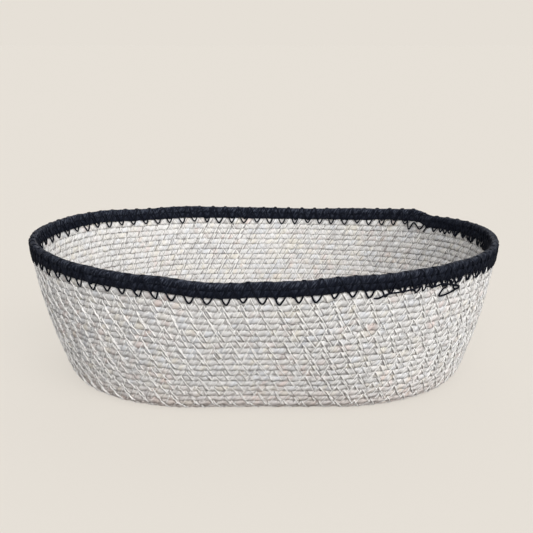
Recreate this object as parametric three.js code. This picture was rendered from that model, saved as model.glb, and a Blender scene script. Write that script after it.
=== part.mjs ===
// Oval coiled basket. One seagrass cord is wound flat round a straight spine for the base, turns up
// at the corner and climbs the wall. A thicker black cord goes round twice more for the rim.
// Millimetres, +Z up, +X along the oval, origin on the floor under the middle of the base.
import * as THREE from 'three';

const degree = Math.PI / 180;

// Driving dimensions
const rimLength = 340;         // outside, end to end
const rimWidth = 240;          // outside, front to back
const rimHeight = 102;         // floor to the top of the last round, before the sag
const rimSag = 3;              // the rim is this much higher near the ends and lower near the sides
const rimSagTurn = 8 * degree;        // the sag is turned clockwise by this angle
const rimRoundness = 0.9;      // plan of the rim: 0 is straight sides on round ends, 1 is an ellipse
const cornerRadius = 11;       // base to wall, at the middle of the cord
const wallAngleLow = 66.5 * degree;   // lean of the wall above the corner, from level
const wallAngleTop = 83.5 * degree;   // lean of the wall at the rim
const cordPitch = 4.55;        // round to round, natural cord
const cordThickness = 4.6;     // natural cord through the wall
const rimCordPitch = 5.2;      // round to round, black cord
const rimCordThickness = 5;    // black cord through the wall
const rimRoundCount = 2;
const rimLap = 10.8;           // the black cord starts this far before the place where it ends
const rimEndAngle = 37 * degree;      // the last round stops here, at the back on the right
const rimTaperLength = 18;     // the last round thins out over this length
const rimTaperEnd = 0.35;      // share of the cord's height that is left at its end
const stitchLength = 11;       // one zigzag along the seam
const stitchWidth = 9.8;       // one zigzag across the seam, from groove to groove
const stitchLean = 0.5;        // share of a zigzag that goes to its down stroke
const threadDiameter = 1.1;

// Clearances
const roundGap = 0.6;          // between one round of a cord and the next
const jointGap = 0.3;          // where one cord ends against the next one's end
const threadGap = 0.3;         // thread to cord

// Facets: all rounds have their corners in the same places, so that they lie side by side
const arcSteps = 8;            // on each round end of a loop
const straightShare = 0.06;    // share of a turn that each straight side takes
const arcShare = 0.5 - straightShare;

// Finishes
const naturalColor = 0xd8d3c7;
const blackColor = 0x15161a;
const cordRoughness = 0.9;
const threadRoughness = 0.7;

// Profile of the wall, along the middle of the cord from the edge of the flat base: a corner arc,
// then one large arc that steepens up to the rim.
const restHeight = cordThickness / 2;
const cornerLength = cornerRadius * wallAngleLow;
const cornerRise = cornerRadius * (1 - Math.cos(wallAngleLow));
const cornerRun = cornerRadius * Math.sin(wallAngleLow);
const wallRise = rimHeight - rimCordPitch / 2 - restHeight - cornerRise;
const wallRadius = wallRise / (Math.cos(wallAngleLow) - Math.cos(wallAngleTop));
const wallRun = wallRadius * (Math.sin(wallAngleTop) - Math.sin(wallAngleLow));
const profileLength = cornerLength + wallRadius * (wallAngleTop - wallAngleLow);
const rimRadius = rimWidth / 2 - (rimCordThickness / 2) * Math.sin(wallAngleTop);
const flatRadius = rimRadius - wallRun - cornerRun;
const halfSpine = (rimLength - rimWidth) / 2;

// Radius, height and lean at a distance along the profile. The flat base has negative distances.
function profileAt(distance) {
  if (distance <= 0) {
    return { radius: flatRadius + distance, height: restHeight, lean: 0 };
  }
  if (distance <= cornerLength) {
    const lean = distance / cornerRadius;
    return {
      radius: flatRadius + cornerRadius * Math.sin(lean),
      height: restHeight + cornerRadius * (1 - Math.cos(lean)),
      lean,
    };
  }
  const lean = wallAngleLow + (distance - cornerLength) / wallRadius;
  return {
    radius: flatRadius + cornerRun + wallRadius * (Math.sin(lean) - Math.sin(wallAngleLow)),
    height: restHeight + cornerRise + wallRadius * (Math.cos(wallAngleLow) - Math.cos(lean)),
    lean,
  };
}

// Place on an oval: half a turn is a round end followed by a straight side. The side slides the
// end's centre along the spine.
function ovalAt(turn) {
  const part = turn - Math.floor(turn);
  const left = part >= 0.5;
  const along = left ? part - 0.5 : part;
  const swing = Math.min(along / arcShare, 1) * Math.PI - Math.PI / 2;
  const slide = 1 - 2 * Math.max(along - arcShare, 0) / straightShare;
  return { angle: left ? swing + Math.PI : swing, side: left ? -slide : slide };
}

// Turn at which an angle of the right-hand round end lies.
function turnOfAngle(angle) {
  return (angle / Math.PI + 0.5) * arcShare;
}

// A point of the basket: turn round the oval, distance along the profile, and how far it lies along
// and out of the wall from there. The stagger moves the centres of the two round ends off the spine.
// Nothing reaches below the floor.
function pointAt(turn, distance, up, out, stagger = 0) {
  const { angle, side } = ovalAt(turn);
  const { radius, height, lean } = profileAt(distance);
  const climb = Math.max(distance, 0) / profileLength;
  const round = rimRoundness * climb;
  const sag = rimSag * climb * Math.cos(2 * (angle + rimSagTurn));
  const outward = radius + up * Math.cos(lean) + out * Math.sin(lean);
  return new THREE.Vector3(
    halfSpine * ((1 - round) * side + round * Math.cos(angle)) + outward * Math.cos(angle),
    outward * Math.sin(angle) - stagger * side,
    Math.max(height + sag + up * Math.sin(lean) - out * Math.cos(lean), 0),
  );
}

// A closed tube through rings of points, with flat ends.
function tubeGeometry(rings) {
  const sides = rings[0].length;
  const positions = rings.flat().flatMap((point) => [point.x, point.y, point.z]);
  const index = [];
  for (let ring = 0; ring + 1 < rings.length; ring += 1) {
    for (let side = 0; side < sides; side += 1) {
      const a = ring * sides + side;
      const b = ring * sides + (side + 1) % sides;
      index.push(a, b, b + sides, a, b + sides, a + sides);
    }
  }
  const last = (rings.length - 1) * sides;
  for (let side = 1; side + 1 < sides; side += 1) {
    index.push(0, side + 1, side);
    index.push(last, last + side, last + side + 1);
  }
  const geometry = new THREE.BufferGeometry();
  geometry.setAttribute('position', new THREE.Float32BufferAttribute(positions, 3));
  geometry.setIndex(index);
  geometry.computeVertexNormals();
  return geometry;
}

// Section of a cord across its path: six sides, flat towards the inside and outside of the wall.
function cordSection(pitch, thickness) {
  const half = (pitch - roundGap) / 2;
  const flat = half / 2;
  const deep = thickness / 2;
  return [[half, 0], [flat, deep], [-flat, deep], [-half, 0], [-flat, -deep], [flat, -deep]];
}

// Turns at which a cord has a ring: its two ends and every corner of the faceted oval between them.
function stations(firstTurn, lastTurn) {
  const turns = [firstTurn];
  for (let half = Math.floor(firstTurn * 2); half / 2 < lastTurn; half += 1) {
    for (let step = 0; step <= arcSteps; step += 1) {
      const turn = half / 2 + arcShare * step / arcSteps;
      if (turn > firstTurn && turn < lastTurn) {
        turns.push(turn);
      }
    }
  }
  turns.push(lastTurn);
  return turns;
}

// Moves an end ring along the cord, away from what it meets.
function drawBack(ring, next) {
  const way = next[0].clone().sub(ring[0]).setLength(jointGap / 2);
  return ring.map((point) => point.clone().add(way));
}

// Least distance between neighbouring rounds, measured from points on the edges of their sections.
function leastGap(turns, rings) {
  const dotted = rings.map((ring) => ring.flatMap((point, side) => {
    const next = ring[(side + 1) % ring.length];
    return [point, point.clone().lerp(next, 1 / 3), point.clone().lerp(next, 2 / 3)];
  }));
  let least = Infinity;
  for (let first = 0; first < turns.length; first += 1) {
    for (let second = first; second < turns.length && turns[second] - turns[first] < 1.1; second += 1) {
      if (turns[second] - turns[first] > 0.9) {
        for (const point of dotted[first]) {
          for (const other of dotted[second]) {
            least = Math.min(least, point.distanceTo(other));
          }
        }
      }
    }
  }
  return least;
}

const basket = new THREE.Group();

function addMesh(name, geometry, color, roughness) {
  const mesh = new THREE.Mesh(geometry, new THREE.MeshStandardMaterial({ color, roughness, metalness: 0 }));
  mesh.name = name;
  basket.add(mesh);
}

// Turns are counted back down the cord from the end of the rim, because the winding climbs clockwise.
const rimLoopLength = 2 * Math.PI * rimRadius
  + halfSpine * (4 * (1 - rimRoundness) + Math.PI * rimRoundness);
const rimEndTurn = turnOfAngle(rimEndAngle);
const rimTaperTurn = rimEndTurn + rimTaperLength / rimLoopLength;
const rimStartTurn = rimEndTurn + rimRoundCount + rimLap / rimLoopLength;
const wallEnd = rimDistance(rimStartTurn) - (rimCordPitch - cordPitch) / 2;

function rimDistance(turn) {
  return profileLength - rimCordPitch * (turn - rimEndTurn);
}

function wallDistance(turn) {
  return wallEnd - cordPitch * (turn - rimStartTurn);
}

// The wall cord takes over from the base cord in the middle of the straight side below the corner.
const cornerTurn = rimStartTurn + wallEnd / cordPitch;
const joinHalfTurn = Math.ceil(2 * cornerTurn + straightShare) - 1;
const joinTurn = (joinHalfTurn + 1 - straightShare) / 2;
const joinRadius = flatRadius + wallDistance(joinTurn);
// The cord starts doubled back on itself along the spine, in a half circle of half a pitch. The pitch
// of the base is the one that fills it with whole half turns from there.
const baseHalfTurns = Math.floor(2 * joinRadius / cordPitch - 0.5);
const basePitch = joinRadius / (baseHalfTurns / 2 + 0.25);
const baseStartTurn = (joinHalfTurn + 1 + baseHalfTurns) / 2;

function baseShareIn(turn) {
  return (turn - joinTurn) / (baseStartTurn - joinTurn);
}

// At its edge the base grows evenly. Towards its start it goes over to half circles about two centres,
// a quarter of the pitch to either side of the spine, that grow by half a pitch along each straight.
function baseDistance(turn) {
  const halfTurn = Math.floor(turn * 2);
  const slide = Math.max(turn - halfTurn / 2 - arcShare, 0) / straightShare;
  const evenTurnsIn = turn - joinTurn;
  const steppedTurnsIn = (halfTurn + slide - joinHalfTurn - 0.5) / 2;
  const turnsIn = THREE.MathUtils.lerp(evenTurnsIn, steppedTurnsIn, baseShareIn(turn));
  return joinRadius - flatRadius - basePitch * turnsIn;
}

function baseStagger(turn) {
  return baseShareIn(turn) * basePitch / 4;
}

// One cord: a ring of its section at each station. The height of the section may change on the way,
// with its lower edge kept in place.
function addCord(name, turns, section, color, placeAt, heightAt = () => 1) {
  const low = Math.min(...section.map(([up]) => up));
  const rings = turns.map((turn) => section.map(
    ([up, out]) => placeAt(turn, low + (up - low) * heightAt(turn), out),
  ));
  const last = rings.length - 1;
  rings[0] = drawBack(rings[0], rings[1]);
  rings[last] = drawBack(rings[last], rings[last - 1]);
  addMesh(name, tubeGeometry(rings), color, cordRoughness);
  console.log(`${name}: least gap between rounds ${leastGap(turns, rings).toFixed(2)} mm`);
}

const naturalSection = cordSection(cordPitch, cordThickness);
addCord(
  'base_coil',
  stations(joinTurn, baseStartTurn),
  naturalSection,
  naturalColor,
  (turn, up, out) => pointAt(turn, baseDistance(turn), up, out, baseStagger(turn)),
);
addCord(
  'wall_coil',
  stations(rimStartTurn, joinTurn),
  naturalSection,
  naturalColor,
  (turn, up, out) => pointAt(turn, wallDistance(turn), up, out),
);
addCord(
  'rim_coil',
  [rimEndTurn, ...stations(rimTaperTurn, rimStartTurn)],
  cordSection(rimCordPitch, rimCordThickness),
  blackColor,
  (turn, up, out) => pointAt(turn, rimDistance(turn), up, out),
  (turn) => (turn < rimTaperTurn ? rimTaperEnd : 1),
);

// Black thread, sewn in a zigzag along the seam between the rim and the natural cord.
function seamDistance(turn) {
  return rimDistance(turn) - rimCordPitch / 2;
}

// Turns at even steps along one round of the seam, from a fine row of points on it.
function evenTurns(firstTurn, shares) {
  const fine = 720;
  const turns = Array.from({ length: fine + 1 }, (_, i) => firstTurn + i / fine);
  const lengths = [0];
  for (let i = 1; i <= fine; i += 1) {
    const before = pointAt(turns[i - 1], seamDistance(turns[i - 1]), 0, 0);
    lengths.push(lengths[i - 1] + before.distanceTo(pointAt(turns[i], seamDistance(turns[i]), 0, 0)));
  }
  return shares.map((share) => {
    const length = share * lengths[fine];
    const i = lengths.findIndex((reached) => reached > length);
    return turns[i] - (lengths[i] - length) / (lengths[i] - lengths[i - 1]) / fine;
  });
}

// A point on the flat facets of the cords, which lie further in than the smooth oval.
function facetPoint(turn, distance, out) {
  const half = Math.floor(turn * 2) / 2;
  const step = arcShare / arcSteps;
  const along = turn - half;
  const low = along < arcShare ? Math.floor(along / step) * step : arcShare;
  const high = along < arcShare ? low + step : 0.5;
  const lowPoint = pointAt(half + low, distance, 0, out);
  return lowPoint.lerp(pointAt(half + high, distance, 0, out), (along - low) / (high - low));
}

// Direction out of the wall.
function outAt(turn, distance) {
  const { angle } = ovalAt(turn);
  const { lean } = profileAt(distance);
  const level = Math.sin(lean);
  return new THREE.Vector3(Math.cos(angle) * level, Math.sin(angle) * level, -Math.cos(lean));
}

// Rings of a square thread through a zigzag of points, mitred where it turns.
function threadRings(points, outs) {
  const half = threadDiameter / 2;
  const last = points.length - 1;
  return points.map((point, i) => {
    const ahead = points[Math.min(i + 1, last)].clone().sub(points[Math.min(i, last - 1)]);
    const behind = points[Math.max(i, 1)].clone().sub(points[Math.max(i - 1, 0)]);
    const aheadSide = ahead.cross(outs[i]).normalize();
    const behindSide = behind.cross(outs[i]).normalize();
    const mitre = aheadSide.clone().add(behindSide).normalize();
    mitre.multiplyScalar(half / mitre.dot(behindSide));
    const deep = outs[i].clone().multiplyScalar(half);
    return [[1, 1], [1, -1], [-1, -1], [-1, 1]].map(
      ([across, out]) => point.clone().addScaledVector(mitre, across).addScaledVector(deep, out),
    );
  });
}

function addRimStitch(name, face, placeAt) {
  const out = face * (rimCordThickness / 2 + threadGap + threadDiameter / 2);
  const count = Math.round(rimLoopLength / stitchLength);
  const shares = [];
  for (let stitch = 0; stitch < count; stitch += 1) {
    shares.push(stitch / count, (stitch + stitchLean) / count);
  }
  const turns = evenTurns(rimStartTurn - 1, shares);
  const distances = turns.map((turn, i) => seamDistance(turn) + (i % 2 ? -0.5 : 0.5) * stitchWidth);
  const points = turns.map((turn, i) => placeAt(turn, distances[i], out));
  const outs = turns.map((turn, i) => outAt(turn, distances[i]));
  addMesh(name, tubeGeometry(threadRings(points, outs)), blackColor, threadRoughness);
}

addRimStitch('rim_stitch_outside', 1, (turn, distance, out) => pointAt(turn, distance, 0, out));
addRimStitch('rim_stitch_inside', -1, facetPoint);

export default basket;
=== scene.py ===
# Oval basket: a bleached two-ply seagrass cord, wound and sewn with cream thread, with a black corded rim.
# Metres, +Z up, +X along the oval, the front faces -Y. The winding is the one in the part's source.
from math import ceil, cos, floor, pi, radians, sin
import bpy
import numpy as np
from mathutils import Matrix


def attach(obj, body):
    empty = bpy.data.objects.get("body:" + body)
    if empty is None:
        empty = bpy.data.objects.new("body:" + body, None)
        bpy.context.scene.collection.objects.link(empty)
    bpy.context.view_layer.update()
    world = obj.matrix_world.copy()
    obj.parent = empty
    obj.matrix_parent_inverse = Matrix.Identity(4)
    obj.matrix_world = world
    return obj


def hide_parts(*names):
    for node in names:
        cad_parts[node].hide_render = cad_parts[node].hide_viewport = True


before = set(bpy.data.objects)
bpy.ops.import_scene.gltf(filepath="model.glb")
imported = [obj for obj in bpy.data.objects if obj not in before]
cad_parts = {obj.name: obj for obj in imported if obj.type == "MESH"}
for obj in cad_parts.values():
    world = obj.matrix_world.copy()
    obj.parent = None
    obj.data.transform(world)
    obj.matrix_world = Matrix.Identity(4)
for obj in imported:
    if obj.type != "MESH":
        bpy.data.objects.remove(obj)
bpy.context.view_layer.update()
print("frame loaded")

# the winding
form = {
    "rimLength": 0.340,
    "rimWidth": 0.240,
    "rimHeight": 0.102,
    "rimSag": 0.003,
    "rimSagTurn": radians(8),
    "rimRoundness": 0.9,
    "rimWaves": (              # order round the rim, cosine part and sine part
        (3, 0.00035, 0.0011),
        (4, -0.00049, 0.00071),
    ),
    "rimDents": (              # angle, width and height of small dents and humps of the rim
        (radians(-98), radians(8), -0.0017),
        (radians(-112), radians(7), 0.0009),
        (radians(-75), radians(6), 0.0011),
        (radians(126), radians(12), -0.0018),
    ),
    "cornerRadius": 0.011,
    "wallAngleLow": radians(66.5),
    "wallAngleTop": radians(83.5),
    "cordPitch": 0.00455,
    "cordThickness": 0.0046,
    "rimCordPitch": 0.0052,
    "rimCordThickness": 0.005,
    "rimRounds": 2,
    "rimLap": 0.0108,
    "rimEndAngle": radians(37),
    "rimDrawn": 0.0006,        # the thread draws the two rounds together by this much
    "straightShare": 0.06,
    "rightStretch": 0.016,     # the base reaches this much further on the right
}
arcShare = 0.5 - form["straightShare"]
frontPart = 1 - form["straightShare"] / 2      # part of a turn at the middle of the front
angleLow, angleTop = form["wallAngleLow"], form["wallAngleTop"]
cornerRadius = form["cornerRadius"]
cordPitch, rimPitch = form["cordPitch"], form["rimCordPitch"]
restHeight = form["cordThickness"] / 2
cornerLength = cornerRadius * angleLow
cornerRise = cornerRadius * (1 - cos(angleLow))
cornerRun = cornerRadius * sin(angleLow)
wallRise = form["rimHeight"] - rimPitch / 2 - restHeight - cornerRise
wallRadius = wallRise / (cos(angleLow) - cos(angleTop))
wallRun = wallRadius * (sin(angleTop) - sin(angleLow))
profileLength = cornerLength + wallRadius * (angleTop - angleLow)
rimRadius = form["rimWidth"] / 2 - form["rimCordThickness"] / 2 * sin(angleTop)
flatRadius = rimRadius - wallRun - cornerRun
halfSpine = (form["rimLength"] - form["rimWidth"]) / 2


def profileAt(distance):
    # flat base below 0, then a corner arc, then one large arc: radius, height and lean of the cord's middle
    inCorner = np.clip(distance, 0, cornerLength) / cornerRadius
    onWall = angleLow + np.maximum(distance - cornerLength, 0) / wallRadius
    radius = flatRadius + np.minimum(distance, 0) + cornerRadius * np.sin(inCorner)
    radius = radius + wallRadius * (np.sin(onWall) - sin(angleLow))
    height = restHeight + cornerRadius * (1 - np.cos(inCorner))
    height = height + wallRadius * (cos(angleLow) - np.cos(onWall))
    return radius, height, inCorner + onWall - angleLow


def ovalAt(turn):
    # half a turn is a round end and then a straight side, on which the end's centre slides over the spine
    part = turn - np.floor(turn)
    left = part >= 0.5
    along = np.where(left, part - 0.5, part)
    swing = np.minimum(along / arcShare, 1) * pi - pi / 2
    slide = 1 - 2 * np.maximum(along - arcShare, 0) / form["straightShare"]
    return np.where(left, swing + pi, swing), np.where(left, -slide, slide)


def turnOfAngle(angle):
    # turn of an angle on the right-hand round end
    return (angle / pi + 0.5) * arcShare


def pointAt(turn, distance, up, out, stagger=0.0, lowest=0.0):
    # place on the oval at that turn, raised by the profile, the sag and the waves, then moved up along and
    # out of the wall; the plan goes over from a stadium at the base to an ellipse at the rim
    angle, side = ovalAt(turn)
    radius, height, lean = profileAt(distance)
    climb = np.maximum(distance, 0) / profileLength
    roundness = form["rimRoundness"] * climb
    sag = form["rimSag"] * np.cos(2 * (angle + form["rimSagTurn"]))
    for order, cosPart, sinPart in form["rimWaves"]:
        sag = sag + cosPart * np.cos(order * angle) + sinPart * np.sin(order * angle)
    for dentAngle, dentWidth, dentHeight in form["rimDents"]:
        away = (angle - dentAngle + pi) % (2 * pi) - pi
        sag = sag + dentHeight * np.exp(-(away / dentWidth) ** 2)
    outward = radius + up * np.cos(lean) + out * np.sin(lean)
    x = halfSpine * ((1 - roundness) * side + roundness * np.cos(angle)) + outward * np.cos(angle)
    x = x * (1 + form["rightStretch"] * (x > 0) * np.clip(1 - climb / 0.7, 0, 1))
    y = outward * np.sin(angle) - stagger * side
    z = np.maximum(height + sag * climb + up * np.sin(lean) - out * np.cos(lean), lowest)
    return np.stack(np.broadcast_arrays(x, y, z), -1)


# turns are counted back down the cord from the end of the rim
rimSpread = 4 * (1 - form["rimRoundness"]) + pi * form["rimRoundness"]
rimLoopLength = 2 * pi * rimRadius + halfSpine * rimSpread
rimEndTurn = turnOfAngle(form["rimEndAngle"])
rimStartTurn = rimEndTurn + form["rimRounds"] + form["rimLap"] / rimLoopLength
wallEnd = profileLength - (rimStartTurn - rimEndTurn) * rimPitch - (rimPitch - cordPitch) / 2
cornerTurn = rimStartTurn + wallEnd / cordPitch
joinHalfTurn = ceil(2 * cornerTurn + form["straightShare"]) - 1
joinTurn = (joinHalfTurn + 1 - form["straightShare"]) / 2
joinRadius = flatRadius + wallEnd - cordPitch * (joinTurn - rimStartTurn)
baseHalfTurns = floor(2 * joinRadius / cordPitch - 0.5)
basePitch = joinRadius / (baseHalfTurns / 2 + 0.25)
baseStartTurn = (joinHalfTurn + 1 + baseHalfTurns) / 2


def rimPlace(turn):
    # the rim climbs evenly, one rim pitch a turn, drawn together about its middle
    fromMiddle = turn - (rimEndTurn + rimStartTurn) / 2
    drawn = form["rimDrawn"] * (fromMiddle - 0.5)
    return profileLength - rimPitch * (turn - rimEndTurn) + drawn, 0 * turn


def wallPlace(turn):
    # the wall climbs evenly, one cord pitch a turn
    return wallEnd - cordPitch * (turn - rimStartTurn), 0 * turn


def basePlace(turn):
    # even growth at the edge goes over to half circles about two centres beside the spine at the start
    shareIn = (turn - joinTurn) / (baseStartTurn - joinTurn)
    halfTurn = np.floor(2 * turn)
    slide = np.maximum(turn - halfTurn / 2 - arcShare, 0) / form["straightShare"]
    stepped = (halfTurn + slide - joinHalfTurn - 0.5) / 2
    turnsIn = (turn - joinTurn) * (1 - shareIn) + stepped * shareIn
    return joinRadius - flatRadius - basePitch * turnsIn, shareIn * basePitch / 4


# shared helpers
def ease(share):
    # 0 to 1 with a soft start and end
    share = np.clip(share, 0, 1)
    return share * share * (3 - 2 * share)


def waver(places, spacing, seed):
    # random values from -1 to 1 at even knots, joined by a cosine ease
    knots = np.random.default_rng(seed).uniform(-1, 1, int(places.max() / spacing) + 3)
    at = places / spacing
    low = np.floor(at).astype(int)
    part = (1 - np.cos(pi * (at - low))) / 2
    return knots[low] * (1 - part) + knots[low + 1] * part


def evenTurns(firstTurn, lastTurn, placeAt, step):
    # a fine row of turns is measured along its points, then read off at even lengths
    fine = np.linspace(firstTurn, lastTurn, int(3000 * (lastTurn - firstTurn)) + 2)
    distance, stagger = placeAt(fine)
    points = pointAt(fine, distance, 0, 0, stagger)
    lengths = np.concatenate([[0], np.cumsum(np.linalg.norm(np.diff(points, axis=0), axis=1))])
    along = np.linspace(0, lengths[-1], int(lengths[-1] / step) + 2)
    return np.interp(along, lengths, fine), along


def tubeObject(name, rings, along, around, values, material):
    # each ring joins the next by a row of quads, and one polygon closes each end; the map holds millimetres
    # along and around, and values are named numbers at the points
    count, sides = rings.shape[:2]
    first = np.arange(count - 1)[:, None] * sides
    here = np.arange(sides)[None, :]
    ahead = (here + 1) % sides
    quads = np.stack([first + here, first + sides + here, first + sides + ahead, first + ahead], -1)
    corners = np.concatenate([quads.ravel(), here[0], (count - 1) * sides + here[0][::-1]])
    starts = np.concatenate([np.arange(0, quads.size, 4), [quads.size, quads.size + sides]])
    mesh = bpy.data.meshes.new(name)
    mesh.vertices.add(count * sides)
    mesh.vertices.foreach_set("co", rings.astype(np.float32).ravel())
    mesh.loops.add(len(corners))
    mesh.loops.foreach_set("vertex_index", corners.astype(np.int32))
    mesh.polygons.add(len(starts))
    mesh.polygons.foreach_set("loop_start", starts.astype(np.int32))
    mesh.update(calc_edges=True)
    mesh.shade_smooth()
    step = np.arange(count - 1)[:, None] + 0 * here
    side = here + 0 * step
    mapAlong = along[np.stack([step, step + 1, step + 1, step], -1)]
    mapAround = around[np.stack([side, side, side + 1, side + 1], -1)]
    ends = np.stack([np.repeat([along[0], along[-1]], sides), np.tile(around[:-1], 2)], -1)
    cordMap = np.concatenate([np.stack([mapAlong, mapAround], -1).reshape(-1, 2), ends]) * 1000
    mesh.uv_layers.new(name="cordMap").data.foreach_set("uv", cordMap.astype(np.float32).ravel())
    for label, numbers in values.items():
        layer = mesh.attributes.new(label, "FLOAT", "POINT")
        layer.data.foreach_set("value", np.broadcast_to(numbers, (count, sides)).astype(np.float32).ravel())
    mesh.materials.append(material)
    piece = bpy.data.objects.new(name, mesh)
    bpy.context.scene.collection.objects.link(piece)
    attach(piece, "root")
    print(name, "has", len(starts), "faces")
    return piece


# finishes
def addNode(tree, kind, **values):
    # one node, with values for its inputs by name, or for its settings
    node = tree.nodes.new(kind)
    for key, value in values.items():
        if key in node.inputs:
            node.inputs[key].default_value = value
        else:
            setattr(node, key, value)
    return node


def blendColors(tree, kind, amount, first, second):
    # mixes two colours; each is a socket or a plain colour, and amount a socket or a number
    node = addNode(tree, "ShaderNodeMix", data_type="RGBA", blend_type=kind)
    for socket, value in ((node.inputs[0], amount), (node.inputs[6], first), (node.inputs[7], second)):
        if isinstance(value, bpy.types.NodeSocket):
            tree.links.new(value, socket)
        elif socket.type == "RGBA":
            socket.default_value = (*value, 1)
        else:
            socket.default_value = value
    return node.outputs[2]


def spread(tree, value, low, high, toLow=0.0, toHigh=1.0):
    # stretches a value from low..high to toLow..toHigh, and holds it there
    node = addNode(tree, "ShaderNodeMapRange")
    tree.links.new(value, node.inputs["Value"])
    for key, number in (("From Min", low), ("From Max", high), ("To Min", toLow), ("To Max", toHigh)):
        node.inputs[key].default_value = number
    return node.outputs["Result"]


def noiseOf(tree, vector, scale, detail=2.0, stretch=(1, 1, 1)):
    # noise on a stretched vector
    mapping = addNode(tree, "ShaderNodeMapping", Scale=stretch)
    noise = addNode(tree, "ShaderNodeTexNoise", Scale=scale, Detail=detail)
    tree.links.new(vector, mapping.inputs["Vector"])
    tree.links.new(mapping.outputs["Vector"], noise.inputs["Vector"])
    return noise.outputs["Fac"]


def startGroup(name, inputs, outputs):
    # a shader node group with its sockets
    tree = bpy.data.node_groups.new(name, "ShaderNodeTree")
    for label, kind in inputs:
        tree.interface.new_socket(label, in_out="INPUT", socket_type=kind)
    for label, kind in outputs:
        tree.interface.new_socket(label, in_out="OUTPUT", socket_type=kind)
    return tree, tree.nodes.new("NodeGroupInput"), tree.nodes.new("NodeGroupOutput")


def makeFibreGroup():
    # fibres run along the strands: noise that is long on the map's first axis and fine on its second
    tree, given, result = startGroup(
        "strandFibres",
        [("Map", "NodeSocketVector")],
        [("Streak", "NodeSocketFloat"), ("Height", "NodeSocketFloat")],
    )
    coarse = noiseOf(tree, given.outputs["Map"], 1.0, 3.0, (0.2, 0.9, 1))
    fine = noiseOf(tree, given.outputs["Map"], 1.0, 2.0, (0.35, 2.4, 1))
    both = addNode(tree, "ShaderNodeMath", operation="ADD")
    tree.links.new(coarse, both.inputs[0])
    tree.links.new(fine, both.inputs[1])
    tree.links.new(spread(tree, both.outputs[0], 0.7, 1.3), result.inputs["Streak"])
    tree.links.new(both.outputs[0], result.inputs["Height"])
    return tree


creaseAndShadowLook = {
    "reach": 0.25,             # stitches from the hole to the leg, at the far groove
    "slope": 0.237,
    "fade": (0.015, 0.065),    # stitches from the leg, over which a crease and its painted shadow fade out
    "upShare": 0.4,            # what the up strokes press and shade of the down strokes, as the light falls along them
}


def makeCreaseAndShadowGroup():
    # a stitch presses a crease into the cord beside it, which also holds the thread's painted shadow: with
    # the seam's phase, 0 at a near needle hole, and the rise, the share of the way to that hole's groove,
    # the distance to a leg is
    # | |phase| - (reach - slope x rise) | stitches; the down strokes press deeper and carry more painted shadow
    tree, given, result = startGroup(
        "stitchCreaseAndShadow",
        [("Phase", "NodeSocketFloat"), ("Rise", "NodeSocketFloat")],
        [("CreaseAndShadow", "NodeSocketFloat")],
    )
    whole = addNode(tree, "ShaderNodeMath", operation="ROUND")
    phase = addNode(tree, "ShaderNodeMath", operation="SUBTRACT")
    aside = addNode(tree, "ShaderNodeMath", operation="ABSOLUTE")
    leg = addNode(tree, "ShaderNodeMath", operation="MULTIPLY_ADD")
    leg.inputs[1].default_value = -creaseAndShadowLook["slope"]
    leg.inputs[2].default_value = creaseAndShadowLook["reach"]
    away = addNode(tree, "ShaderNodeMath", operation="SUBTRACT")
    near = addNode(tree, "ShaderNodeMath", operation="ABSOLUTE")
    tree.links.new(given.outputs["Phase"], whole.inputs[0])
    tree.links.new(given.outputs["Phase"], phase.inputs[0])
    tree.links.new(whole.outputs[0], phase.inputs[1])
    tree.links.new(phase.outputs[0], aside.inputs[0])
    tree.links.new(given.outputs["Rise"], leg.inputs[0])
    tree.links.new(aside.outputs[0], away.inputs[0])
    tree.links.new(leg.outputs[0], away.inputs[1])
    tree.links.new(away.outputs[0], near.inputs[0])
    creaseAndShadow = addNode(tree, "ShaderNodeMath", operation="MULTIPLY")
    tree.links.new(spread(tree, near.outputs[0], *creaseAndShadowLook["fade"], 1.0, 0.0), creaseAndShadow.inputs[0])
    tree.links.new(spread(tree, phase.outputs[0], -0.02, 0.02, creaseAndShadowLook["upShare"]), creaseAndShadow.inputs[1])
    tree.links.new(creaseAndShadow.outputs[0], result.inputs["CreaseAndShadow"])
    return tree


fibreGroup = makeFibreGroup()
creaseAndShadowGroup = makeCreaseAndShadowGroup()


def startMaterial(name, roughness, specular):
    # a Principled material with its map and the fibres on it
    material = bpy.data.materials.new(name)
    material.use_nodes = True
    tree = material.node_tree
    shader = tree.nodes["Principled BSDF"]
    shader.inputs["Roughness"].default_value = roughness
    shader.inputs["Specular IOR Level"].default_value = specular
    cordMap = addNode(tree, "ShaderNodeUVMap", uv_map="cordMap")
    fibres = addNode(tree, "ShaderNodeGroup", node_tree=fibreGroup)
    tree.links.new(cordMap.outputs["UV"], fibres.inputs["Map"])
    return material, tree, shader, cordMap.outputs["UV"], fibres


def addBump(tree, shader, height, strength, distance):
    # height in the finish, as a normal
    bump = addNode(tree, "ShaderNodeBump", Strength=strength, Distance=distance)
    tree.links.new(height, bump.inputs["Height"])
    tree.links.new(bump.outputs["Normal"], shader.inputs["Normal"])


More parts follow.
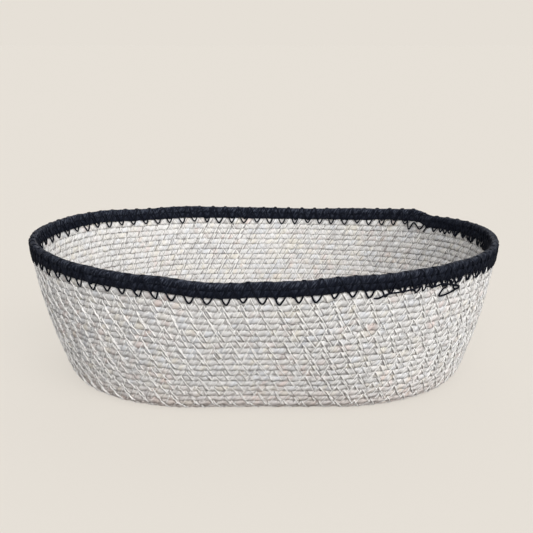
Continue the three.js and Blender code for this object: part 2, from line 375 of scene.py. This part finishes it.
seagrassLook = {
    "pale": (0.93, 0.92, 0.91),
    "shade": (0.68, 0.665, 0.65),
    "pink": (0.82, 0.70, 0.66),
    "pinkTint": (0.62, 0.95),         # tints from which a lump goes over to pink, in pink patches
    "pinkPatch": (0.4, 0.62),
    "blue": (0.78, 0.80, 0.84),
    "blueTint": (0.42, 0.1),
    "straw": (0.82, 0.77, 0.66),
    "strawTone": (0.66, 0.95),        # tones from which it goes over to straw, or to grey
    "grey": (0.84, 0.84, 0.84),
    "greyTone": (0.4, 0.1),
    "warm": (0.76, 0.65, 0.59),       # darker and warmer towards the floor
    "warmHeight": 0.022,
    "groove": (0.70, 0.69, 0.68),     # painted shade in a groove between the strands: what it leaves of the colour
    "grooveShadeCrown": (0.05, 0.5),
    "creaseAndShadow": (0.48, 0.47, 0.465),    # and painted shade beside a stitch, for the thread's shadow in its crease
    "dashShade": (0.42, 0.41, 0.40),       # and a broken line of painted shade where two rounds meet
    "dashRise": (0.02, 0.13),
    "dashStreak": (0.7, 0.35),
    "creaseDepth": 0.6,
}


def makeSeagrass():
    # pale and grey fibres, with pink, blue-white, straw and grey lumps, darker and warmer towards the floor,
    # with painted shade in the grooves, where two rounds meet and beside the stitches, where it stands for
    # the threads' shadow
    look = seagrassLook
    material, tree, shader, cordMap, fibres = startMaterial("bleachedSeagrass", 0.78, 0.2)
    place = addNode(tree, "ShaderNodeTexCoord").outputs["Object"]
    color = blendColors(tree, "MIX", fibres.outputs["Streak"], look["shade"], look["pale"])
    tint = addNode(tree, "ShaderNodeAttribute", attribute_name="tint").outputs["Fac"]
    tone = addNode(tree, "ShaderNodeAttribute", attribute_name="tone").outputs["Fac"]
    patch = noiseOf(tree, place, 33.0, 1.0)
    pinker = addNode(tree, "ShaderNodeMath", operation="MULTIPLY")
    tree.links.new(spread(tree, tint, *look["pinkTint"]), pinker.inputs[0])
    tree.links.new(spread(tree, patch, *look["pinkPatch"]), pinker.inputs[1])
    color = blendColors(tree, "MIX", pinker.outputs[0], color, look["pink"])
    color = blendColors(tree, "MIX", spread(tree, tint, *look["blueTint"], 0.0, 0.6), color, look["blue"])
    color = blendColors(tree, "MIX", spread(tree, tone, *look["strawTone"], 0.0, 0.6), color, look["straw"])
    color = blendColors(tree, "MULTIPLY", spread(tree, tone, *look["greyTone"]), color, look["grey"])
    height = addNode(tree, "ShaderNodeSeparateXYZ")
    tree.links.new(place, height.inputs[0])
    low = spread(tree, height.outputs["Z"], 0.0, look["warmHeight"], 0.6, 0.0)
    color = blendColors(tree, "MIX", low, color, look["warm"])
    # painted shade in the grooves between the strands, where the crown is low
    crown = addNode(tree, "ShaderNodeAttribute", attribute_name="crown").outputs["Fac"]
    groove = spread(tree, crown, *look["grooveShadeCrown"], 1.0, 0.0)
    color = blendColors(tree, "MULTIPLY", groove, color, look["groove"])
    creasesAndShadows = []
    for label in ("Below", "Above"):
        creaseAndShadow = addNode(tree, "ShaderNodeGroup", node_tree=creaseAndShadowGroup)
        phase = addNode(tree, "ShaderNodeAttribute", attribute_name="phase" + label).outputs["Fac"]
        rise = addNode(tree, "ShaderNodeAttribute", attribute_name="rise" + label).outputs["Fac"]
        tree.links.new(phase, creaseAndShadow.inputs["Phase"])
        tree.links.new(rise, creaseAndShadow.inputs["Rise"])
        creasesAndShadows.append(creaseAndShadow.outputs["CreaseAndShadow"])
        # painted shade where two rounds meet, broken by the fibres
        dashShade = addNode(tree, "ShaderNodeMath", operation="MULTIPLY")
        tree.links.new(spread(tree, rise, *look["dashRise"], 1.0, 0.0), dashShade.inputs[0])
        tree.links.new(spread(tree, fibres.outputs["Streak"], *look["dashStreak"]), dashShade.inputs[1])
        color = blendColors(tree, "MULTIPLY", dashShade.outputs[0], color, look["dashShade"])
    # painted shadow of the threads beside the stitches; the same mask presses the creases into the bump
    creaseAndShadow = addNode(tree, "ShaderNodeMath", operation="MAXIMUM")
    tree.links.new(creasesAndShadows[0], creaseAndShadow.inputs[0])
    tree.links.new(creasesAndShadows[1], creaseAndShadow.inputs[1])
    color = blendColors(tree, "MULTIPLY", creaseAndShadow.outputs[0], color, look["creaseAndShadow"])
    tree.links.new(color, shader.inputs["Base Color"])
    pressed = addNode(tree, "ShaderNodeMath", operation="MULTIPLY_ADD")
    pressed.inputs[1].default_value = -look["creaseDepth"]
    tree.links.new(creaseAndShadow.outputs[0], pressed.inputs[0])
    tree.links.new(fibres.outputs["Height"], pressed.inputs[2])
    addBump(tree, shader, pressed.outputs[0], 1.0, 0.0005)
    return material


def makeThread(name, light, dark, specular):
    # two colours of fibre in a fine thread
    material, tree, shader, cordMap, fibres = startMaterial(name, 0.6, specular)
    color = blendColors(tree, "MIX", fibres.outputs["Streak"], dark, light)
    tree.links.new(color, shader.inputs["Base Color"])
    addBump(tree, shader, fibres.outputs["Height"], 0.3, 0.0002)
    return material


blackLook = {
    "dark": (0.0025, 0.0036, 0.008),
    "navy": (0.012, 0.015, 0.026),
    # grey specks: worn fibres and a painted highlight
    "wearAndHighlight": (0.062, 0.071, 0.096),
    "wearAndHighlightSpecks": (0.5, 0.6),
    "wearAndHighlightFromTop": (1.4, 0.2),        # rim pitches below the top, from least worn and lit to most: a painted highlight on the top of the rim
}


def makeBlackCord():
    # navy-black fibres, with grey specks, partly worn fibres and partly a painted highlight, more at the top
    # of the rim where the light falls
    material, tree, shader, cordMap, fibres = startMaterial("blackCord", 0.6, 0.06)
    look = blackLook
    color = blendColors(tree, "MIX", fibres.outputs["Streak"], look["dark"], look["navy"])
    specks = noiseOf(tree, cordMap, 1.0, 3.0, (0.4, 0.7, 1))
    fromTop = addNode(tree, "ShaderNodeAttribute", attribute_name="fromTop").outputs["Fac"]
    # worn fibres and painted highlight, more towards the top of the rim
    wearAndHighlight = addNode(tree, "ShaderNodeMath", operation="MULTIPLY")
    tree.links.new(spread(tree, specks, *look["wearAndHighlightSpecks"]), wearAndHighlight.inputs[0])
    tree.links.new(spread(tree, fromTop, *look["wearAndHighlightFromTop"], 0.25, 1.0), wearAndHighlight.inputs[1])
    color = blendColors(tree, "MIX", wearAndHighlight.outputs[0], color, look["wearAndHighlight"])
    tree.links.new(color, shader.inputs["Base Color"])
    addBump(tree, shader, specks, 1.0, 0.0012)
    return material


seagrass = makeSeagrass()
creamThread = makeThread("creamThread", (0.95, 0.94, 0.92), (0.87, 0.855, 0.83), 0.2)
blackThread = makeThread("blackThread", (0.008, 0.010, 0.017), (0.003, 0.004, 0.008), 0.06)
blackCord = makeBlackCord()
print("finishes made")

# the seams
creamSeam = {
    "stitch": 0.0113,          # one zigzag along the seam
    "above": 0.0048,           # needle holes lie in the grooves beside the two cords
    "below": 0.0048,
    "pitchAbove": cordPitch,
    "pitchBelow": cordPitch,
    "frontSlip": 0.8,          # stitches beyond a whole number from loop to loop, at the front
    "backSlip": 0.09,          # and at the back
    "stray": 0.32,             # random part of the slips
    "radius": 0.00036,
    "sides": 5,
    "legParts": (0, 0.1, 0.28, 0.5, 0.72, 0.9),
    "crownOut": 0.0025,        # thread's middle over the crown of a cord
    "grooveDip": 0.0004,       # how far it sinks between two cords
    "endDip": 0.0016,          # how far it goes in at a needle hole
    "loose": 0.0006,           # random shift of a needle hole
    "sink": 0.0003,            # the up strokes lie this much deeper
    "bury": 0.0003,            # some stitches sink into the cords by up to this much
    "roundness": 0.1,          # 0 is a zigzag of straight legs, 1 is a wave
    "seed": 41,
}
bobbinSeam = {                 # inside, drawn tighter
    **creamSeam,
    "radius": 0.0003,
    "crownOut": 0.0024,
}
rimSeam = {
    **creamSeam,
    "stitch": 0.011,
    "above": rimPitch,
    "below": 0.0036,
    "pitchAbove": rimPitch,
    "frontSlip": 0.5,
    "backSlip": 0.5,
    "radius": 0.0006,
    "crownOut": 0.0028,
    "grooveDip": 0.0003,
    "endDip": 0.0004,
    "loose": 0.0009,
    "sink": 0.0,
    "bury": 0.0,
    "roundness": 0.8,
    "seed": 57,
}
crestSeam = {
    **rimSeam,
    "below": 0.0042,
    "pitchBelow": rimPitch,
    "radius": 0.00055,
    "seed": 71,
}
secondSeam = {                 # the seam is sewn twice round the right-hand end
    **rimSeam,
    "stitch": 0.0078,
    "above": 0.0042,
    "below": 0.0034,
    "loose": 0.0012,
    "seed": 83,
    "outside": (radians(-66), radians(35)),
    "inside": (radians(-45), radians(35)),
}
looseThread = {
    **rimSeam,
    "radius": 0.0006,
    "lift": 0.003,
    "pointsEach": 8,
}
# face, and places of the loose thread: degrees round the right-hand end and millimetres up the profile
looseRoutes = {
    "thread_tail": (1, (
        (-69.4, 90.9), (-68.2, 90.7), (-66.4, 92.6), (-64.4, 93.3),
        (-61.9, 93.3), (-59.7, 93.7), (-57.7, 94.4), (-56.2, 96.5),
    )),
    "thread_loop": (1, (
        (-47.6, 95.0), (-48.2, 91.1), (-49.3, 90.2), (-50.6, 86.9), (-50.2, 85.7), (-48.0, 86.1),
        (-45.3, 87.3), (-43.1, 88.7), (-43.6, 90.4), (-45.6, 91.3), (-46.4, 95.0),
    )),
    "thread_snarl": (1, (
        (-55.0, 94.6), (-52.0, 93.2), (-49.5, 93.9), (-46.5, 92.2), (-44.2, 90.6),
        (-43.0, 88.9), (-43.9, 88.0), (-45.4, 89.6), (-44.0, 92.6), (-42.4, 94.4),
    )),
    "thread_step": (-1, (
        (44.4, 101.7), (44.0, 91.6), (41.9, 97.2), (39.6, 92.3), (37.8, 96.3),
    )),
}


def seamCorners(look, firstTurn, lastTurn, seamAt):
    # stitches are counted at the middle of the front and of the back; between two such places lies the
    # number nearest to the stitch length that shifts the stitches by the slips; a needle hole lies at each
    # half stitch
    turns, along = evenTurns(firstTurn, lastTurn, seamAt, 0.002)
    loops = np.arange(floor(firstTurn) - 1, ceil(lastTurn) + 1)
    slips = np.stack([look["backSlip"] * loops, look["frontSlip"] * loops], -1).ravel()
    slips = slips + look["stray"] * np.random.default_rng(look["seed"]).uniform(-1, 1, len(slips))
    places = np.stack([loops + frontPart - 0.5, loops + frontPart], -1).ravel()
    inside = (places > firstTurn) & (places < lastTurn)
    if not inside.any():
        inside[0] = True
    marks = np.interp(places[inside], turns, along)
    shifts = np.diff(slips[inside])
    counts = np.round(np.diff(marks) / look["stitch"] - shifts) + shifts
    reached = np.concatenate([[0], np.cumsum(counts)])
    before = -marks[0] / look["stitch"]
    after = reached[-1] + (along[-1] - marks[-1]) / look["stitch"]
    halves = np.arange(ceil(2 * before), floor(2 * after))
    lengths = np.interp(halves / 2, np.r_[before, reached, after], np.r_[0, marks, along[-1]])
    lengths = lengths + look["loose"] * np.random.default_rng(look["seed"]).uniform(-1, 1, len(lengths))
    return turns, along, halves, lengths


def seamBelow(placeAt, pitch):
    # the seam lies half a pitch below the middle of its cord
    def seamAt(turn):
        distance, stagger = placeAt(turn)
        return distance - pitch / 2, stagger
    return seamAt


wallSeamAt = seamBelow(wallPlace, cordPitch)
baseSeamAt = seamBelow(basePlace, basePitch)
rimSeamAt = seamBelow(rimPlace, rimPitch)
lowerTurn = rimStartTurn - 1         # where the lower round of the rim begins
seamEndTurn = baseStartTurn - 0.6


def holeTable():
    # turns of all needle holes down the basket, and their half stitches
    seams = (
        (rimSeam, lowerTurn, rimStartTurn, rimSeamAt),
        (creamSeam, rimStartTurn, joinTurn, wallSeamAt),
        (creamSeam, joinTurn, seamEndTurn, baseSeamAt),
    )
    holes = []
    for look, firstTurn, lastTurn, seamAt in seams:
        turns, along, halves, lengths = seamCorners(look, firstTurn, lastTurn, seamAt)
        holes.append((np.interp(lengths, along, turns), halves / 2))
    return [np.concatenate(column) for column in zip(*holes)]


holeTurns, holePhases = holeTable()


def seamPhase(turn):
    # stitches counted along the seam, whole at the upper holes
    return np.interp(turn, holeTurns, holePhases)


# the cords
naturalCord = {
    "step": 0.001,            # along the cord
    "sides": 12,
    "lay": 0.0128,            # one turn of the two strands
    "strandShare": 0.8,       # strand radius over cord radius
    "press": 5.5,             # 2 is a round cord, more is squarer
    "radiusUp": 0.0027,       # along the wall, so that the rounds press on each other
    "radiusOut": 0.0023,
    "swell": 0.12,
    "lump": 0.007,            # length over which a strand's size and tint change
    "sway": 1.2,              # random parts of the twist, and the lengths over which they change
    "swayLength": 0.05,
    "uneven": 0.8,
    "unevenLength": 0.012,
    "pinch": 0.06,            # a cord is thinner where its stitches meet
    "pinchWidth": 0.13,       # over this part of a stitch
    "drift": 0.0003,          # random shift of the cord up and out, and the lengths over which it changes
    "driftUpLength": 0.018,
    "driftOutLength": 0.022,
    "lowest": 0.0004,         # the thread lies under it
    "creaseAndShadowShift": 0.03,      # creases and their painted shadow lie this part of a stitch to the left of their thread, away from the light
    "seed": 11,
}
rimCord = {
    **naturalCord,
    "step": 0.0007,
    "sides": 16,
    "lay": 0.011,
    "strandShare": 0.93,
    "press": 3.6,
    "radiusUp": 0.0027,
    "radiusOut": 0.0025,
    "swell": 0.05,
    "pinch": 0.0,
    "seed": 23,
}
taperTurn = 0.022             # the last round thins out over this part of a turn
scarfTurn = 0.018             # natural and black cord overlap by this part of a turn
rimFirstTurn = rimEndTurn - 0.006
rimLastTurn = rimStartTurn + 0.002
wallFirstTurn = rimLastTurn - scarfTurn


def rimShape(turn):
    # height of the rim's cord, which thins out at both ends, and the edge that stays in place there
    end = ease((turn - rimFirstTurn) / taperTurn)
    start = ease((rimLastTurn - turn) / scarfTurn)
    return 0.1 + 0.9 * end * start, np.where(turn < rimEndTurn + 1, -1, 1)


def wallShape(turn):
    # the natural cord thins out under the start of the black one
    return 0.1 + 0.9 * ease((turn - wallFirstTurn) / scarfTurn), -1 + 0 * turn


def lumpValues(look, along, strand, seed):
    # random values along each of the two strands, mixed round the cord by the share of each strand there
    share = (1 + np.cos(strand)) / 2
    first, second = [waver(along, look["lump"], seed + k)[:, None] for k in (0, 1)]
    return first * share + second * (1 - share)


def cordRings(look, turns, along, placeAt, shapeAt):
    # two round strands side by side, turned about the path once in each lay: the radius at an angle on the
    # strands is offset x |cos| + root(radius^2 - (offset x sin)^2), each strand swells on its own, and the
    # whole is pressed towards a square
    strand = np.linspace(0, 2 * pi, look["sides"], endpoint=False)[None, :]
    radius, offset = look["strandShare"], 1 - look["strandShare"]
    shape = offset * np.abs(np.cos(strand)) + np.sqrt(radius ** 2 - (offset * np.sin(strand)) ** 2)
    seed = look["seed"]
    swell, tint, tone = [lumpValues(look, along, strand, seed + k) for k in (1, 11, 21)]
    shape = shape * (1 + look["swell"] * swell)
    twist = 2 * pi * along / look["lay"] + look["sway"] * waver(along, look["swayLength"], seed + 3)
    twist = twist + look["uneven"] * waver(along, look["unevenLength"], seed + 6)
    theta = strand + twist[:, None]
    for phase in (seamPhase(turns), seamPhase(turns - 1) + 0.5):
        fromHole = (phase - np.round(phase))[:, None]
        shape = shape * (1 - look["pinch"] * np.exp(-(fromHole / look["pinchWidth"]) ** 2))
    power = look["press"]
    pressed = shape * (np.abs(np.cos(theta)) ** power + np.abs(np.sin(theta)) ** power) ** (-1 / power)
    drift = look["drift"]
    driftUp = drift * waver(along, look["driftUpLength"], seed + 4)[:, None]
    driftOut = drift * waver(along, look["driftOutLength"], seed + 5)[:, None]
    up = look["radiusUp"] * pressed * np.sin(theta) + driftUp
    out = look["radiusOut"] * pressed * np.cos(theta) + driftOut
    if shapeAt is not None:
        height, edge = shapeAt(turns)
        kept = look["radiusUp"] * edge[:, None]
        up = (up - kept) * height[:, None] + kept
        out = out * np.sqrt(height)[:, None]
    distance, stagger = placeAt(turns)
    rings = pointAt(turns[:, None], distance[:, None], up, out, stagger[:, None], look["lowest"])
    rise = up / cordPitch + 0.5
    values = {
        "fromTop": (profileLength - distance[:, None] - up) / rimPitch,
        "crown": (shape - shape.min()) / (shape.max() - shape.min()),
        "tint": tint / 2 + 0.5,
        "tone": tone / 2 + 0.5,
        "riseBelow": rise,
        "riseAbove": 1 - rise,
        "phaseBelow": seamPhase(turns)[:, None] + look["creaseAndShadowShift"],
        "phaseAbove": -seamPhase(turns - 1)[:, None] - look["creaseAndShadowShift"] - 0.5,
    }
    around = np.append(strand[0], 2 * pi) * look["radiusOut"]
    return rings, around, values


def windCord(names, look, firstTurn, lastTurn, placeAt, material, node, shapeAt=None):
    # one cord along its turns, cut into as many pieces as there are names
    turns, along = evenTurns(firstTurn, lastTurn, placeAt, look["step"])
    rings, around, values = cordRings(look, turns, along, placeAt, shapeAt)
    cuts = np.linspace(0, len(turns) - 1, len(names) + 1).astype(int)
    for name, start, end in zip(names, cuts[:-1], cuts[1:] + 1):
        cutValues = {label: numbers[start:end] for label, numbers in values.items()}
        piece = tubeObject(name, rings[start:end], along[start:end], around, cutValues, material)
        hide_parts(node)


baseNames = ["base_cord_edge", "base_cord_middle"]
wallNames = ["wall_cord_top", "wall_cord_middle", "wall_cord_low"]
windCord(baseNames, naturalCord, joinTurn, baseStartTurn, basePlace, seagrass, "base_coil")
windCord(wallNames, naturalCord, wallFirstTurn, joinTurn, wallPlace, seagrass, "wall_coil",
         wallShape)
windCord(["rim_cord"], rimCord, rimFirstTurn, rimLastTurn, rimPlace, blackCord, "rim_coil",
         rimShape)

# the sewing threads
def threadObjects(names, look, turn, distance, up, out, stagger, face, material):
    # a round thread along a path on the wall, cut into as many pieces as there are names
    middle = pointAt(turn, distance, up, out, stagger, look["radius"])
    outward = pointAt(turn, distance, up, out + face * 0.0005, stagger, -1.0)
    outward = outward - pointAt(turn, distance, up, out, stagger, -1.0)
    outward = outward / np.linalg.norm(outward, axis=1)[:, None]
    ahead = np.gradient(middle, axis=0)
    side = np.cross(outward, ahead)
    side = side / np.linalg.norm(side, axis=1)[:, None]
    angle = np.linspace(0, 2 * pi, look["sides"], endpoint=False)[None, :, None]
    ring = np.cos(angle) * outward[:, None] - np.sin(angle) * side[:, None]
    rings = middle[:, None] + look["radius"] * ring
    run = np.concatenate([[0], np.cumsum(np.linalg.norm(np.diff(middle, axis=0), axis=1))])
    around = np.linspace(0, 2 * pi * look["radius"], look["sides"] + 1)
    cuts = np.linspace(0, len(run) - 1, len(names) + 1).astype(int)
    return [
        tubeObject(name, rings[start:end], run[start:end], around, {}, material)
        for name, start, end in zip(names, cuts[:-1], cuts[1:] + 1)
    ]


def sewSeam(names, look, firstTurn, lastTurn, seamAt, face, material, overCrest=False):
    # a zigzag between needle holes: each leg runs along and across the seam, rides over the crowns, sinks
    # between the cords and goes in at the holes, or goes over the crest of the rim
    turns, along, halves, lengths = seamCorners(look, firstTurn, lastTurn, seamAt)
    draw = np.random.default_rng(look["seed"] + 1)
    atTop = halves % 2 == 0
    ups = np.where(atTop, look["above"], -look["below"])
    ups = ups + look["loose"] * draw.uniform(-1, 1, len(lengths)) * (1 - overCrest * atTop)
    parts = np.array(look["legParts"])[None, :]
    length = (lengths[:-1, None] * (1 - parts) + lengths[1:, None] * parts).ravel()
    across = parts + look["roundness"] * ((1 - np.cos(pi * parts)) / 2 - parts)
    up = (ups[:-1, None] * (1 - across) + ups[1:, None] * across).ravel()
    turn = np.interp(length, along, turns)
    distance, stagger = seamAt(turn)
    groove = (1 + np.cos(2 * pi * up / np.where(up > 0, look["pitchAbove"], look["pitchBelow"]))) / 2
    toHole = (np.minimum(parts, 1 - parts) + 0 * lengths[:-1, None]).ravel()
    hole = np.exp(-(toHole / 0.08) ** 2)
    if overCrest:
        hole = hole * (up < 0)
    upStroke = np.repeat(1 - atTop[:-1], parts.size)
    legs = np.arange(len(lengths) - 1.0)
    buried = np.repeat(look["bury"] * (1 + waver(legs, 4.0, look["seed"] + 2)) / 2, parts.size)
    out = look["crownOut"] - look["sink"] * upStroke - buried
    out = out - look["grooveDip"] * groove - look["endDip"] * hole
    if overCrest:
        turned = np.clip(2 * up / look["above"] - 1, 0, 1) * pi / 2
        height, edge = rimShape(turn)
        halfHeight = rimCord["radiusUp"] * height
        middle = look["above"] / 2 - rimCord["radiusUp"] + halfHeight
        up = np.where(up > 0, np.minimum(2 * up / look["above"], 1) * middle, up)
        up = up + halfHeight * np.sin(turned)
        out = np.where(turned > 0, look["crownOut"] * np.cos(turned), out)
    return threadObjects(names, look, turn, distance, up, face * out, stagger, face, material)


def layThread(name, look, face, route):
    # a smooth curve through its places on the wall: a cubic between each two, sloped as their neighbours lie
    places = np.array(route)
    slopes = np.gradient(places, axis=0)
    at = np.linspace(0, len(places) - 1, look["pointsEach"] * (len(places) - 1) + 1)
    low = np.minimum(at.astype(int), len(places) - 2)
    part = (at - low)[:, None]
    swing = ease(part)
    curve = places[low] * (1 - swing) + places[low + 1] * swing
    curve = curve + part * (1 - part) * ((1 - part) * slopes[low] - part * slopes[low + 1])
    turn = turnOfAngle(np.radians(curve[:, 0]))
    none = 0 * turn
    out = face * look["lift"] + none
    return threadObjects([name], look, turn, curve[:, 1] / 1000, none, out, none, face, blackThread)[0]


for face, label in ((1, "outside"), (-1, "inside")):
    wallThreads = [f"wall_thread_{label}_{part}" for part in ("top", "low")]
    seam = creamSeam if face > 0 else bobbinSeam
    pieces = sewSeam(wallThreads, seam, rimStartTurn, joinTurn, wallSeamAt, face, creamThread)
    pieces += sewSeam([f"base_thread_{label}"], seam, joinTurn, seamEndTurn, baseSeamAt, face, creamThread)
    firstTurn, lastTurn = [2 + turnOfAngle(angle) for angle in secondSeam[label]]
    pieces = []
    for name, seam, start, end, overCrest in (
        ("rim_thread", rimSeam, lowerTurn, rimStartTurn, False),
        ("crest_thread", crestSeam, rimEndTurn + 0.002, lowerTurn, True),
        ("second_thread", secondSeam, firstTurn, lastTurn, False),
    ):
        pieces += sewSeam([f"{name}_{label}"], seam, start, end, rimSeamAt, face, blackThread, overCrest)
    for piece in pieces:
        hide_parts(f"rim_stitch_{label}")
for name, (face, route) in looseRoutes.items():
    piece = layThread(name, looseThread, face, route)
    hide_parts("rim_stitch_outside" if face > 0 else "rim_stitch_inside")
print("threads sewn")

# floor, light and camera
studio = {
    "background": (0.791, 0.745, 0.679),
    "floorGlow": 0.8,          # share of the floor's look that is the plain background
    "floorTone": 0.9,          # floor colour over the background, for the light that it gets
    "bounce": (0.18, 0.165, 0.155),
    "floorHalf": 40.0,
    "ambient": 0.3,
    "ambientColor": (0.94, 0.97, 1.0),
    "lampColor": (1.0, 0.99, 0.98),
}
keyLight = {                   # turned to the right of the camera, and raised
    "strength": 3.4,
    "turn": radians(20),
    "rise": radians(32),
    "size": radians(70),
}
topLight = {                   # from above on the left, into the basket
    "strength": 0.2,
    "turn": radians(-65),
    "rise": radians(72),
    "size": radians(60),
}
backLight = {                  # for the side away from the camera
    "strength": 1.3,
    "turn": radians(170),
    "rise": radians(35),
    "size": radians(70),
}


def seenRays(tree):
    # 1 where the camera or a reflection looks, 0 for the light that falls on the object
    rays = addNode(tree, "ShaderNodeLightPath")
    either = addNode(tree, "ShaderNodeMath", operation="MAXIMUM")
    seen = addNode(tree, "ShaderNodeMath", operation="MAXIMUM")
    tree.links.new(rays.outputs["Is Glossy Ray"], either.inputs[0])
    tree.links.new(rays.outputs["Is Transmission Ray"], either.inputs[1])
    tree.links.new(rays.outputs["Is Camera Ray"], seen.inputs[0])
    tree.links.new(either.outputs[0], seen.inputs[1])
    return seen.outputs[0]


def makeFloor():
    # one square at height 0, that looks like the background and gives off less light than it shows
    half = studio["floorHalf"]
    mesh = bpy.data.meshes.new("floor")
    corners = [(-half, -half, 0), (half, -half, 0), (half, half, 0), (-half, half, 0)]
    mesh.from_pydata(corners, [], [(0, 1, 2, 3)])
    material = bpy.data.materials.new("paleFloor")
    material.use_nodes = True
    tree = material.node_tree
    shader = tree.nodes["Principled BSDF"]
    seen = seenRays(tree)
    glow = studio["floorGlow"]
    shown = [(1 - glow) * studio["floorTone"] * part for part in studio["background"]]
    tree.links.new(blendColors(tree, "MIX", seen, studio["bounce"], shown), shader.inputs["Base Color"])
    shader.inputs["Emission Color"].default_value = (*studio["background"], 1)
    tree.links.new(spread(tree, seen, 0, 1, 0, glow), shader.inputs["Emission Strength"])
    shader.inputs["Roughness"].default_value = 1.0
    shader.inputs["Specular IOR Level"].default_value = 0.0
    mesh.materials.append(material)
    floorPiece = bpy.data.objects.new("floor", mesh)
    bpy.context.scene.collection.objects.link(floorPiece)


def makeWorld():
    # even light all round, and the pale background where the camera and reflections look
    world = bpy.data.worlds.new("studio")
    world.use_nodes = True
    tree = world.node_tree
    tree.nodes.clear()
    ambientColor = (*studio["ambientColor"], 1)
    light = addNode(tree, "ShaderNodeBackground", Color=ambientColor, Strength=studio["ambient"])
    pale = addNode(tree, "ShaderNodeBackground", Color=(*studio["background"], 1), Strength=1.0)
    mix = addNode(tree, "ShaderNodeMixShader")
    result = addNode(tree, "ShaderNodeOutputWorld")
    tree.links.new(seenRays(tree), mix.inputs[0])
    tree.links.new(light.outputs[0], mix.inputs[1])
    tree.links.new(pale.outputs[0], mix.inputs[2])
    tree.links.new(mix.outputs[0], result.inputs["Surface"])
    bpy.context.scene.world = world


def makeSun(name, look):
    # one soft lamp, turned to the right of the camera and raised
    lamp = bpy.data.lights.new(name, "SUN")
    lamp.energy = look["strength"]
    lamp.angle = look["size"]
    lamp.color = studio["lampColor"]
    sun = bpy.data.objects.new(name, lamp)
    sun.rotation_euler = (pi / 2 - look["rise"], 0, look["turn"])
    bpy.context.scene.collection.objects.link(sun)


cameraView = {
    "place": (-0.00376, -0.6119, 0.2364),
    "down": radians(14.86),
    "turn": radians(-0.5),
    "lens": 57.53,
    "sensor": 36.0,
}


def makeCamera():
    # at the photograph's viewing angle
    data = bpy.data.cameras.new("camera")
    data.lens = cameraView["lens"]
    data.sensor_width = cameraView["sensor"]
    camera = bpy.data.objects.new("camera", data)
    camera.location = cameraView["place"]
    camera.rotation_euler = (pi / 2 - cameraView["down"], 0, cameraView["turn"])
    bpy.context.scene.collection.objects.link(camera)
    bpy.context.scene.camera = camera


makeFloor()
makeWorld()
makeSun("key", keyLight)
makeSun("top", topLight)
makeSun("back", backLight)
makeCamera()
bpy.context.scene.view_settings.view_transform = "Standard"
print("stage set")
